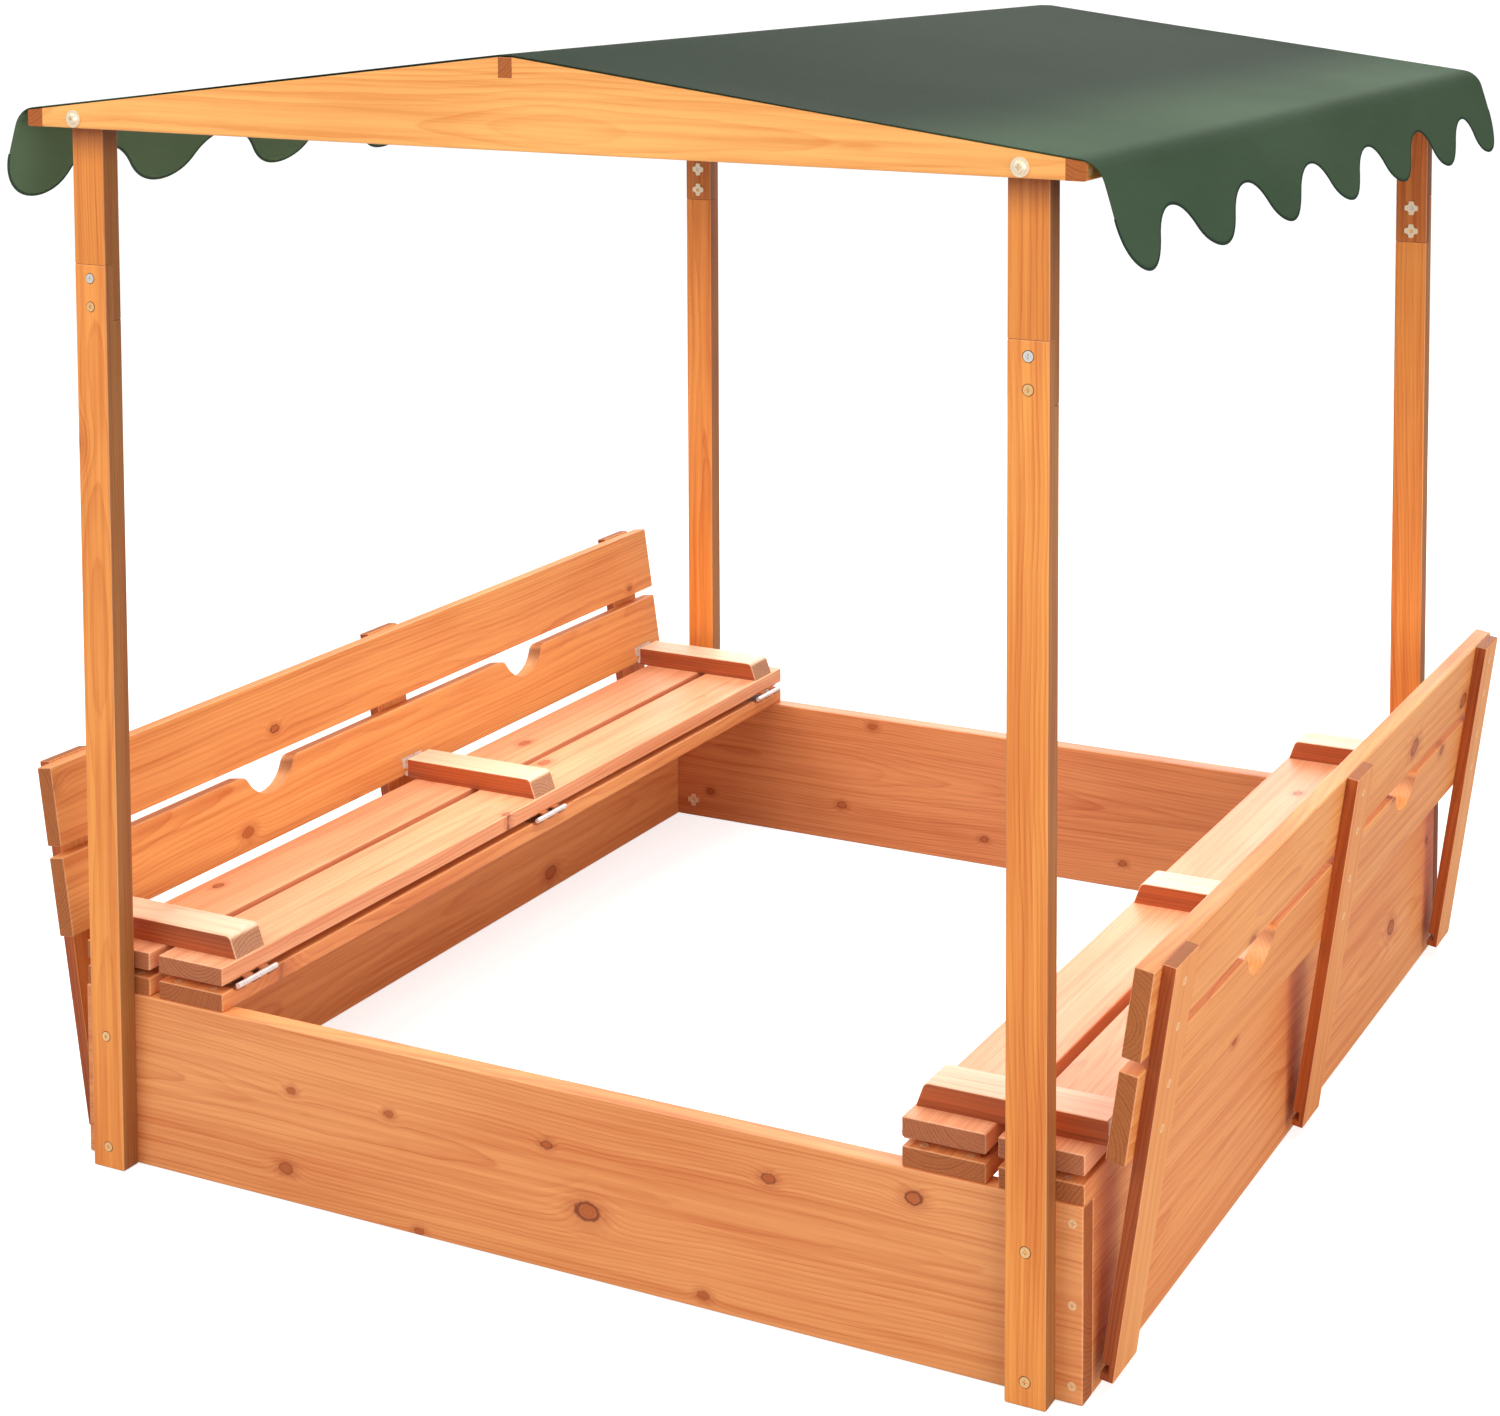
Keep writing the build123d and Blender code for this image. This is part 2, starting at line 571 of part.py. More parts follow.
def backrest_leaf(y):
    leaf = hinge_leaf(BACK_HINGE_LENGTH, BACK_HINGE_REACH, INNER_KNUCKLES, RUNNING_BORE)
    return Pos(0, y, 0) * Rot(0, -90, 0) * leaf


def backrest_slats(leaves, screws):
    """Built upright on the hinge axis: local Z up the face, local X out through it."""
    x = (BACK_FRONT, BACK_FRONT + SLAT_THICKNESS)
    lower = board(x, (-SLAT_END, SLAT_END), (BACK_BOTTOM, BACK_BOTTOM + SLAT_WIDTH))
    upper = Pos(0, 0, SLAT_WIDTH + SLAT_GAP) * lower
    for side in (-1, 1):
        lower -= Pos(x[0], side * GRIP_OFFSET, BACK_BOTTOM + SLAT_WIDTH) * grip_cutter()
    lower = lower.cut(*leaves)
    return {
        "backrest_lower_slat": drilled(lower, screws),
        "backrest_upper_slat": drilled(upper, screws),
    }


def grip_cutter():
    """Finger cut-out: a bowl that runs tangent into a rounded shoulder on each side."""
    side = (GRIP_WIDTH / 2, GRIP_DEPTH, GRIP_SHOULDER)
    return Rot(180, 0, 0) * waved_cutter(side, side, 3 * SLAT_THICKNESS)


def backrest_leg(y):
    """Batten behind the backrest that reaches down beside the wall."""
    x = (LEG_FRONT, LEG_FRONT + LEG_THICKNESS)
    leg = board(x, (y - LEG_WIDTH / 2, y + LEG_WIDTH / 2), (LEG_BOTTOM, LEG_TOP), 1.5)
    depth = LAYER_GAP / 2 + HINGE_RADIUS + 1.0 - BACKREST_DROP
    relief = Box(2 * depth, LEG_WIDTH + 2, 2 * HINGE_RADIUS + 4)
    return leg - Pos(LEG_FRONT, y, -KNUCKLE_RELIEF) * relief


def backrest_screws():
    screws = Fasteners()
    back = LEG_FRONT + LEG_THICKNESS
    for y in SUPPORTS.values():
        for slat in (0, 1):
            middle = BACK_BOTTOM + SLAT_WIDTH / 2 + slat * (SLAT_WIDTH + SLAT_GAP)
            for shift in LEG_SCREW_SHIFTS:
                screws.add(wood_screw(LEG_SCREW_LENGTH), (back, y, middle + shift), (1, 0, 0))
        for shift in BACK_LEAF_SHIFTS:
            leaf = (BACK_FRONT, y + shift, BACK_HINGE_REACH * BACK_LEAF_SCREW)
            screws.add(hinge_screw(), leaf, (-1, 0, 0))
    return screws


def seat_parts():
    screws = seat_screws()
    under, upright = seat_leaves()
    pieces = seat_slats(under, screws)
    for row, y in SUPPORTS.items():
        pieces[f"{row}_batten"] = drilled(seat_batten(y).cut(*upright), screws)
    leaves = [drilled(leaf, screws) for leaf in under + upright]
    pieces["seat_hinge_leaves"] = leaves
    pieces["hinge_pins"] = hinge_pins()
    pieces["seat_screws"] = screws.solids
    return pieces


def backrest_parts():
    screws = backrest_screws()
    leaves = [backrest_leaf(y) for y in SUPPORTS.values()]
    pieces = backrest_slats(leaves, screws)
    for row, y in SUPPORTS.items():
        pieces[f"{row}_leg"] = drilled(backrest_leg(y), screws)
    pieces["backrest_hinge_leaves"] = [drilled(leaf, screws) for leaf in leaves]
    pieces["backrest_screws"] = screws.solids
    place = backrest_place()
    return {
        name: [place * part for part in piece] if isinstance(piece, list) else place * piece
        for name, piece in pieces.items()
    }


def both_sides(pieces):
    """Right-hand pieces under their own names, and mirrored ones for the left."""
    nodes = {}
    for name, piece in pieces.items():
        group = piece if isinstance(piece, list) else [piece]
        nodes[f"right_{name}"] = Compound(children=[part.solid() for part in group])
        nodes[f"left_{name}"] = Compound(children=[mirrored(part).solid() for part in group])
    return nodes


# ---- assembly -----------------------------------------------------------------------
def frame_parts():
    screws = frame_screws()
    leaf_screws = fixed_leaf_screws()
    base, lap, gable, nuts = frame_bolts()
    leaf = hinge_leaf(SEAT_HINGE_LENGTH, SEAT_HINGE_REACH, OUTER_KNUCKLES, RUNNING_BORE)
    leaves = [seat_hinge_place(y) * leaf for y in SUPPORTS.values()]
    holes = Fasteners()
    holes.holes = screws.holes + leaf_screws.holes + [mirrored(h) for h in leaf_screws.holes]
    nodes = walls(screws, base, nuts)
    nodes.update(fixed_slats(holes, leaves))
    nodes.update(posts(base, lap, gable, nuts))
    nodes.update(gables(screws, gable))
    nodes.update(roof_beams(screws))
    nodes["canopy"] = canopy()
    nodes["post_base_bolts"] = base.group()
    nodes["post_joint_bolts"] = lap.group()
    nodes["gable_bolts"] = gable.group()
    nodes["tee_nuts"] = nuts.group()
    small = [mirrored(part) for part in leaf_screws.solids]
    all_screws = screws.solids + leaf_screws.solids + small
    nodes["frame_screws"] = Compound(children=[part.solid() for part in all_screws])
    nodes["seat_rest_pads"] = rest_pads()
    nodes.update(both_sides({"fixed_hinge_leaves": [drilled(leaf, leaf_screws) for leaf in leaves]}))
    return nodes


def main():
    nodes = frame_parts()
    nodes.update(both_sides(seat_parts()))
    nodes.update(both_sides(backrest_parts()))
    os.makedirs("parts", exist_ok=True)
    for name, shape in nodes.items():
        export_step(shape, f"parts/{name}.step")


main()
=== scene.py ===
import json
import math

import bmesh
import bpy
from mathutils import Matrix, Vector

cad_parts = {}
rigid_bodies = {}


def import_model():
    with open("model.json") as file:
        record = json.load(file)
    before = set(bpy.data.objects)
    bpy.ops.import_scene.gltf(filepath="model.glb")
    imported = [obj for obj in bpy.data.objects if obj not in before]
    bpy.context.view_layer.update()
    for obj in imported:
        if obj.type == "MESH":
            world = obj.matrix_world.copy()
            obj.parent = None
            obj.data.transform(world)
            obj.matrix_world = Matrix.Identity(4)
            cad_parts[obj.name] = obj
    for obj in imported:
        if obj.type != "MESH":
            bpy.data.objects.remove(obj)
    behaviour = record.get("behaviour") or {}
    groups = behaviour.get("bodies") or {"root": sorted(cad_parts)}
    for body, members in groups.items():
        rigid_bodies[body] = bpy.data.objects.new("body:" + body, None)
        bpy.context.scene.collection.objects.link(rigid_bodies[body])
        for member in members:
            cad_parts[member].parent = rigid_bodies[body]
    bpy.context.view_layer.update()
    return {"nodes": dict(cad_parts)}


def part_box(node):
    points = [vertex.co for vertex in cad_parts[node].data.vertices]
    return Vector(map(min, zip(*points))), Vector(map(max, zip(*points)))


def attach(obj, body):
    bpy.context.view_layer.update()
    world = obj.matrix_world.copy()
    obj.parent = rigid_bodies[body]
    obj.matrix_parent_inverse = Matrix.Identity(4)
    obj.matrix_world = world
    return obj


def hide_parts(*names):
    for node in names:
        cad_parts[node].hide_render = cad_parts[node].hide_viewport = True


for leftover in list(bpy.data.objects):
    bpy.data.objects.remove(leftover)

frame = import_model()
nodes = frame["nodes"]

# ---- the photograph's point of view (metres) ------------------------------------------
# A compromise: no one camera fits the whole photograph. This one keeps all of it in the frame.
CAMERA_PLACE = Vector((1.4890, -2.6854, 1.3747))
CAMERA_TARGET = Vector((0.3240, -0.0371, 1.1764))
CAMERA_ROLL = math.radians(0.248)
CAMERA_LENS = 62.52           # mm, on the sensor below
SENSOR_WIDTH = 36.0
CAMERA_SHIFT = (-0.2104, -0.4250)
AT_HOME = 0.001               # the camera counts as in its place when closer than this

BACKREST_LEAN = math.radians(8.5)     # the opened backrests lean outwards


# ---- shader helpers --------------------------------------------------------------------
class Graph:
    """Short calls for building a tree of shader nodes."""

    def __init__(self, tree):
        self.tree = tree

    def node(self, kind, feeds=None, **settings):
        made = self.tree.nodes.new(kind)
        for key, value in settings.items():
            setattr(made, key, value)
        for key, value in (feeds or {}).items():
            self.feed(made.inputs[key], value)
        return made

    def feed(self, socket, value):
        if isinstance(value, bpy.types.NodeSocket):
            self.tree.links.new(value, socket)
        else:
            socket.default_value = value

    def math(self, operation, a, b=0.0, c=0.0, clamp=False):
        feeds = {0: a, 1: b, 2: c}
        return self.node("ShaderNodeMath", feeds, operation=operation, use_clamp=clamp).outputs[0]

    def vector(self, operation, a, b=(0, 0, 0)):
        made = self.node("ShaderNodeVectorMath", {0: a, 1: b}, operation=operation)
        return made.outputs["Value"] if operation in ("DOT_PRODUCT", "LENGTH") else made.outputs[0]

    def split(self, value):
        return self.node("ShaderNodeSeparateXYZ", {0: value}).outputs

    def join(self, x, y, z):
        return self.node("ShaderNodeCombineXYZ", {0: x, 1: y, 2: z}).outputs[0]

    def noise(self, place, scale, seed=0.0, detail=2.0, rough=0.5):
        """Noise around 0.5, where scale is cycles per metre along each axis."""
        stretched = self.vector("MULTIPLY", place, scale)
        feeds = {"Vector": stretched, "W": seed, "Scale": 1.0, "Detail": detail, "Roughness": rough}
        return self.node("ShaderNodeTexNoise", feeds, noise_dimensions="4D").outputs[0]

    def smooth(self, value, low, high, out_low=0.0, out_high=1.0):
        feeds = {
            "Value": value, "From Min": low, "From Max": high, "To Min": out_low, "To Max": out_high,
        }
        return self.node("ShaderNodeMapRange", feeds, interpolation_type="SMOOTHSTEP").outputs[0]

    def mix(self, share, a, b, blend="MIX"):
        feeds = {0: share, 6: a, 7: b}
        return self.node("ShaderNodeMix", feeds, data_type="RGBA", blend_type=blend).outputs[2]

    def ramp(self, value, stops):
        made = self.node("ShaderNodeValToRGB", {0: value})
        band = made.color_ramp
        band.interpolation = "EASE"
        while len(band.elements) < len(stops):
            band.elements.new(0.5)
        for element, (place, level) in zip(band.elements, stops):
            element.position = place
            element.color = (level, level, level, 1.0)
        return made.outputs[0]


def new_material(name):
    material = bpy.data.materials.new(name)
    material.use_nodes = True
    material.node_tree.nodes.clear()
    return material, Graph(material.node_tree)


def finish_material(graph, shader):
    graph.node("ShaderNodeOutputMaterial", {"Surface": shader})


def colour(red, green, blue):
    """A linear colour from 0-255 display values."""
    def linear(value):
        share = value / 255
        return share / 12.92 if share <= 0.04045 else ((share + 0.055) / 1.055) ** 2.4
    return (linear(red), linear(green), linear(blue), 1.0)


# ---- stained cedar ---------------------------------------------------------------------
KNOT_CELL_LONG = 0.19
KNOT_CELL_WIDE = 0.125
RING_SPACING = 0.0038
PITH_SPREAD = 0.11            # how far to either side of the board's middle the pith may lie
PITH_DEPTH = 0.022            # least depth of the pith under the board's middle
PITH_DEPTH_RANGE = 0.05
# painted shade: darker colours for the sides of the legs and battens
SIDE_SHADE_LIGHT = (184, 82, 22)
SIDE_SHADE_DEEP = (120, 46, 8)


def cedar_group():
    """Solid wood: growth rings round a pith that wanders along X, with knots and fibres.

    Vector is the place in the board in metres: X along the grain, Y across the face and Z
    through the thickness. Normal is the surface normal in the same axes.
    """
    tree = bpy.data.node_groups.new("cedar", "ShaderNodeTree")
    face = tree.interface
    for name, kind in (
        ("Vector", "NodeSocketVector"), ("Normal", "NodeSocketVector"), ("Seed", "NodeSocketFloat"),
        ("Knots", "NodeSocketFloat"), ("SideShade", "NodeSocketFloat"),
        ("Light", "NodeSocketColor"), ("Deep", "NodeSocketColor"),
    ):
        face.new_socket(name, in_out="INPUT", socket_type=kind)
    for name, kind in (
        ("Color", "NodeSocketColor"), ("Roughness", "NodeSocketFloat"), ("Height", "NodeSocketFloat"),
    ):
        face.new_socket(name, in_out="OUTPUT", socket_type=kind)
    g = Graph(tree)
    given = g.node("NodeGroupInput").outputs
    place, seed = given["Vector"], given["Seed"]
    x, y, z = g.split(place)

    # knots: a few round cells, kept or dropped by chance
    cell = g.join(
        g.math("ADD", g.math("DIVIDE", x, KNOT_CELL_LONG), g.math("MULTIPLY", seed, 17.3)),
        g.math("ADD", g.math("DIVIDE", y, KNOT_CELL_WIDE), g.math("MULTIPLY", seed, 5.1)),
        0.0,
    )
    cells = g.node(
        "ShaderNodeTexVoronoi", {"Vector": cell, "Scale": 1.0, "Randomness": 0.7},
        voronoi_dimensions="2D",
    )
    chance, size, shade = g.split(cells.outputs["Color"])
    kept = g.math("LESS_THAN", chance, given["Knots"])
    wobble = g.math("MULTIPLY", g.math("SUBTRACT", g.noise(place, (180, 180, 60), seed), 0.5), 0.0042)
    away = g.math("ADD", g.math("MULTIPLY", cells.outputs["Distance"], KNOT_CELL_WIDE), wobble)
    knot_size = g.math("MULTIPLY_ADD", g.math("POWER", size, 1.5), 0.0058, 0.0034)
    away = g.math("DIVIDE", away, knot_size)
    push = g.math("EXPONENT", g.math("MULTIPLY", g.math("POWER", g.math("DIVIDE", away, 2.3), 2.0), -1.0))
    push = g.math("MULTIPLY", g.math("MULTIPLY", push, kept), g.math("MULTIPLY", knot_size, 1.6))

    # rings: distance from a pith line under the face
    chance_y = g.math("FRACT", g.math("MULTIPLY", seed, 0.731))
    chance_z = g.math("FRACT", g.math("MULTIPLY", seed, 1.37))
    pith_y = g.math("MULTIPLY", g.math("SUBTRACT", chance_y, 0.5), PITH_SPREAD)
    pith_z = g.math("MULTIPLY_ADD", chance_z, -PITH_DEPTH_RANGE, -PITH_DEPTH)
    slow = g.math("MULTIPLY", g.math("SUBTRACT", g.noise(place, (1.1, 3.0, 3.0), seed), 0.5), 0.060)
    quick = g.math("MULTIPLY", g.math("SUBTRACT", g.noise(place, (6.0, 22.0, 22.0), seed, 3.0), 0.5), 0.008)
    offset_y, offset_z = g.math("SUBTRACT", y, pith_y), g.math("SUBTRACT", z, pith_z)
    radius = g.math("SQRT", g.math("ADD", g.math("POWER", offset_y, 2.0), g.math("POWER", offset_z, 2.0)))
    radius = g.math("ADD", g.math("ADD", radius, slow), g.math("ADD", quick, push))
    radius = g.math("MULTIPLY_ADD", x, 0.010, radius)
    turns = g.math("DIVIDE", radius, RING_SPACING)
    turns = g.math("ADD", turns, g.noise(g.join(turns, seed, 0.0), (0.23, 1.0, 1.0), seed, 2.0))
    late = g.ramp(g.math("FRACT", turns), [(0.0, 0.0), (0.35, 0.06), (0.72, 0.55), (0.90, 1.0), (1.0, 0.0)])
    ring = g.node("ShaderNodeTexWhiteNoise", {"Vector": g.join(g.math("FLOOR", turns), seed, 0.0)})
    strength = g.math("MULTIPLY_ADD", ring.outputs["Value"], 0.65, 0.35)
    late = g.math("MULTIPLY", late, strength)

    # fibres and soft blotches of stain
    fibre = g.noise(place, (14, 1100, 700), seed, 2.0, 0.6)
    streak = g.noise(place, (2.4, 130, 90), seed, 3.0, 0.6)
    blotch = g.noise(place, (3.2, 11, 11), seed, 2.0)
    cloud = g.noise(place, (1.3, 5.0, 5.0), g.math("ADD", seed, 9.0), 1.0)

    shade_in = g.math("MULTIPLY", late, 0.48)
    shade_in = g.math("ADD", shade_in, g.smooth(streak, 0.36, 0.72, 0.0, 0.50))
    shade_in = g.math("ADD", shade_in, g.smooth(fibre, 0.35, 0.80, 0.0, 0.20))
    shade_in = g.math("ADD", shade_in, g.smooth(blotch, 0.35, 0.75, -0.10, 0.22), clamp=True)
    wood = g.mix(shade_in, given["Light"], given["Deep"])
    warm = g.mix(g.smooth(cloud, 0.35, 0.7), (1.0, 0.97, 0.93, 1.0), (1.0, 1.02, 1.04, 1.0))
    wood = g.mix(0.8, wood, warm, "MULTIPLY")

    # a knot: reddish halo, brown heart with its own rings, dark broken rim
    halo = g.math("MULTIPLY", g.smooth(away, 0.8, 3.0, 0.38, 0.0), kept)
    wood = g.mix(halo, wood, g.mix(1.0, given["Deep"], (0.66, 0.38, 0.28, 1.0), "MULTIPLY"))
    heart_rings = g.math("SINE", g.math("MULTIPLY", away, 15.0))
    heart = g.mix(g.math("MULTIPLY_ADD", heart_rings, 0.25, 0.45), colour(190, 90, 34), colour(150, 64, 22))
    wood = g.mix(g.math("MULTIPLY", g.smooth(away, 0.85, 1.25, 0.72, 0.0), kept), wood, heart)
    rim = g.math("MULTIPLY", g.smooth(away, 0.72, 0.95), g.smooth(away, 1.0, 1.3, 1.0, 0.0))
    rim = g.math("MULTIPLY", g.math("MULTIPLY", rim, kept), g.smooth(shade, 0.2, 0.7, 0.15, 0.75))
    wood = g.mix(rim, wood, colour(112, 46, 14))

    # painted shade: the sides of legs and battens are darker; end grain drinks more stain; eased edges are
    # a little paler
    nx, ny, nz = g.split(g.vector("ABSOLUTE", given["Normal"]))
    side = g.math("MULTIPLY", g.smooth(ny, 0.60, 0.92), given["SideShade"])
    wood = g.mix(side, wood, g.mix(shade_in, colour(*SIDE_SHADE_LIGHT), colour(*SIDE_SHADE_DEEP)))
    end = g.smooth(nx, 0.60, 0.92)
    pores = g.noise(place, (900, 900, 900), seed, 1.0)
    end_tone = g.mix(g.math("MULTIPLY_ADD", late, 0.55, g.smooth(pores, 0.4, 0.75, 0.0, 0.35), clamp=True),
                     (0.52, 0.36, 0.27, 1.0), (0.20, 0.10, 0.065, 1.0))
    wood = g.mix(end, wood, g.mix(1.0, given["Light"], end_tone, "MULTIPLY"))
    flat = g.math("MAXIMUM", g.math("MAXIMUM", nx, ny), nz)
    worn = g.smooth(blotch, 0.30, 0.60, 0.35, 1.0)
    eased = g.math("MULTIPLY", g.smooth(flat, 0.80, 0.97, 1.0, 0.0), worn)
    wood = g.mix(g.math("MULTIPLY", eased, 0.45), wood, g.mix(0.6, wood, colour(255, 205, 160)))

    rough = g.math("MULTIPLY_ADD", late, -0.10, g.smooth(blotch, 0.3, 0.7, 0.50, 0.62))
    rough = g.math("MAXIMUM", rough, g.math("MULTIPLY", end, 0.75))
    height = g.math("ADD", g.math("MULTIPLY", late, 0.45), g.math("MULTIPLY", fibre, 0.55))
    g.node("NodeGroupOutput", {"Color": wood, "Roughness": rough, "Height": height})
    return tree


def shade_post(g, tone, where):
    """The posts are darker on their sides and just under the gables, as shade would make them."""
    across = g.math("ABSOLUTE", g.split(where.outputs["Normal"])[0])
    height = g.split(where.outputs["Object"])[2]
    gable_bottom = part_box("front_gable")[0].z
    side = g.smooth(across, 0.55, 0.90, 0.0, 0.85)
    tone = g.mix(side, tone, g.mix(1.0, tone, POST_SIDE_SHADE, "MULTIPLY"))
    under = g.smooth(height, gable_bottom - UNDER_GABLE, gable_bottom, 0.0, 0.85)
    return g.mix(under, tone, g.mix(1.0, tone, UNDER_GABLE_SHADE, "MULTIPLY"))


def wood_material(name, axes, centre, seed, light, deep, knots, side_shade, is_post):
    """Cedar with its grain along the board. axes are the grain, width and thickness directions."""
    material, g = new_material(name)
    turn = Matrix(axes).transposed().to_euler()
    where = g.node("ShaderNodeTexCoord")
    place = g.node(
        "ShaderNodeMapping",
        {"Vector": where.outputs["Object"], "Location": centre, "Rotation": turn},
        vector_type="TEXTURE",
    )
    normal = g.node(
        "ShaderNodeMapping", {"Vector": where.outputs["Normal"], "Rotation": turn}, vector_type="TEXTURE",
    )
    group = g.node("ShaderNodeGroup", node_tree=CEDAR)
    for key, value in (
        ("Vector", place.outputs[0]), ("Normal", normal.outputs[0]), ("Seed", seed),
        ("Knots", knots), ("SideShade", side_shade), ("Light", light), ("Deep", deep),
    ):
        g.feed(group.inputs[key], value)
    feeds = {"Height": group.outputs["Height"], "Strength": 0.35, "Distance": 0.0006}
    bump = g.node("ShaderNodeBump", feeds)
    tone = shade_post(g, group.outputs["Color"], where) if is_post else group.outputs["Color"]
    shader = g.node(
        "ShaderNodeBsdfPrincipled",
        {
            "Base Color": tone, "Roughness": group.outputs["Roughness"],
            "Normal": bump.outputs[0], "Specular IOR Level": 0.34,
            "Coat Weight": 0.15, "Coat Roughness": 0.38,
        },
    )
    finish_material(g, shader.outputs[0])
    return material


X, Y, Z = Vector((1, 0, 0)), Vector((0, 1, 0)), Vector((0, 0, 1))


def lean_axes(side):
    """Up the leaning backrest, and out through it."""
    up = Vector((side * math.sin(BACKREST_LEAN), 0, math.cos(BACKREST_LEAN)))
    out = Vector((side * math.cos(BACKREST_LEAN), 0, -math.sin(BACKREST_LEAN)))
    return up, out


def board_axes(name):
    """Grain, width and thickness directions of a board, from its name and its box."""
    side = 1 if name.startswith("right") else -1
    if "backrest" in name:
        up, out = lean_axes(side)
        return Y, up, -out * side if side < 0 else out
    if name.endswith("leg"):
        up, out = lean_axes(side)
        return up, Y, out
    low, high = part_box(name)
    by_size = sorted(zip(high - low, (X, Y, Z)), key=lambda pair: -pair[0])
    return tuple(axis for _, axis in by_size)


def right_handed(axes):
    """The same three directions with the last one flipped if they are left-handed."""
    grain, width, through = axes
    flip = -1 if grain.cross(width).dot(through) < 0 else 1
    return grain, width, through * flip


BENCH_TONES = colour(240, 162, 99), colour(208, 112, 57)
BACKREST_TONES = colour(240, 164, 94), colour(208, 114, 54)
SEAT_TONES = colour(246, 174, 128), colour(218, 126, 80)
# the battens' pale cream stain, lightened towards white as a painted highlight for the glare on their tops
BATTEN_PALE_AND_GLARE_TONES = colour(255, 212, 180), colour(242, 172, 132)
# painted shade: the rear wall is a darker copy of the walls' stain, for the shade inside the box
REAR_WALL_SHADED_TONES = colour(222, 140, 86), colour(188, 96, 50)
FRAME_TONES = colour(245, 160, 78), colour(205, 103, 40)
# painted shade: the upper posts are stained darker, the rear ones most, for the shade under the canopy
FRONT_UPPER_SHADED_TONES = colour(233, 148, 68), colour(193, 95, 34)
REAR_UPPER_SHADED_TONES = colour(214, 128, 58), colour(168, 80, 28)
GABLE_TONES = colour(255, 190, 108), colour(230, 142, 66)
# painted shade on the posts' sides and just under the gables
POST_SIDE_SHADE = (0.34, 0.38, 0.52, 1.0)
UNDER_GABLE_SHADE = (0.42, 0.38, 0.52, 1.0)
UNDER_GABLE = 0.045           # height of the shaded stretch
SHADED_SIDES = 0.95          # how strongly the painted shade darkens the legs' and battens' sides
FIRST_SEED = 3.17
SEED_STEP = 1.713


def wood_tones(name):
    """The light and deep colours of a board's stain."""
    if name.endswith("gable"):
        return GABLE_TONES
    # painted shade: darker tones for the upper posts
    if name.endswith("upper_post"):
        return FRONT_UPPER_SHADED_TONES if name.startswith("front") else REAR_UPPER_SHADED_TONES
    if nodes[name].data.materials[0].name == "cedar_frame":
        return FRAME_TONES
    # painted shade: the rear wall gets darker tones
    if name == "rear_wall":
        return REAR_WALL_SHADED_TONES
    if name.endswith("batten"):
        return BATTEN_PALE_AND_GLARE_TONES
    if "backrest" in name or name.endswith("leg"):
        return BACKREST_TONES
    return SEAT_TONES if "seat" in name else BENCH_TONES


def knot_share(name):
    """The share of a board's knot cells that hold a knot."""
    if nodes[name].data.materials[0].name == "cedar_frame" or "batten" in name:
        return 0.10
    if name in ("front_wall", "rear_wall"):
        return 0.75
    return 0.0 if name.endswith("leg") else 0.36


def paint_wood():
    """Every board gets its own cut of wood: own seed, own slight tone."""
    boards = sorted(n for n, o in nodes.items() if o.data.materials[0].name.startswith("cedar"))
    for index, name in enumerate(boards):
        low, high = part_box(name)
        drift = ((index * 7) % 11 - 5) / 5
        tint = (1 + 0.02 * drift, 1 + 0.04 * drift, 1 + 0.05 * drift)
        light, deep = (
            tuple(a * b for a, b in zip(tone, tint)) + (1.0,) for tone in wood_tones(name))
        # painted shade on the sides of the legs and battens
        side_shade = SHADED_SIDES if name.endswith(("leg", "batten")) else 0.0
        axes = right_handed(board_axes(name))
        WOODS[name] = wood_material(
            f"cedar_{name}", axes, (low + high) / 2, FIRST_SEED + SEED_STEP * index, light, deep,
            knot_share(name), side_shade, name.endswith("post"))


CEDAR = cedar_group()
WOODS = {}
paint_wood()
for name, material in WOODS.items():
    nodes[name].data.materials[0] = material


# ---- metal and rubber ------------------------------------------------------------------
METAL_SHARE = 0.48            # the plating is a little dusty
PIN_RADIUS = 0.0015
KNUCKLE_EDGE = (0.0031, 0.0034)       # from the hinge axis: bright up to the first, wood past the second


def metal_material(name, base, rough, stain=0.15, upper=None, above=0.0):
    """Plated steel with faint brushing. upper is the plating higher than a given height."""
    material, g = new_material(name)
    place = g.node("ShaderNodeTexCoord").outputs["Object"]
    tone = base
    if upper:
        tone = g.mix(g.math("GREATER_THAN", g.split(place)[2], above), base, upper)
    cloud = g.noise(place, (420, 420, 420), 2.0, 3.0)
    fine = g.noise(place, (2600, 2600, 2600), 5.0, 2.0)
    dull = g.mix(1.0, tone, (0.45, 0.40, 0.34, 1.0), "MULTIPLY")
    tone = g.mix(g.smooth(cloud, 0.35, 0.75, 0.0, stain), tone, dull)
    patchy = g.smooth(cloud, 0.3, 0.7, rough - 0.06, rough + 0.10)
    roughness = g.math("ADD", patchy, g.math("MULTIPLY", fine, 0.06))
    bump = g.node("ShaderNodeBump", {"Height": fine, "Strength": 0.15, "Distance": 0.0002})
    shader = g.node(
        "ShaderNodeBsdfPrincipled",
        {"Base Color": tone, "Metallic": METAL_SHARE, "Roughness": roughness, "Normal": bump.outputs[0]},
    )
    finish_material(g, shader.outputs[0])
    return material


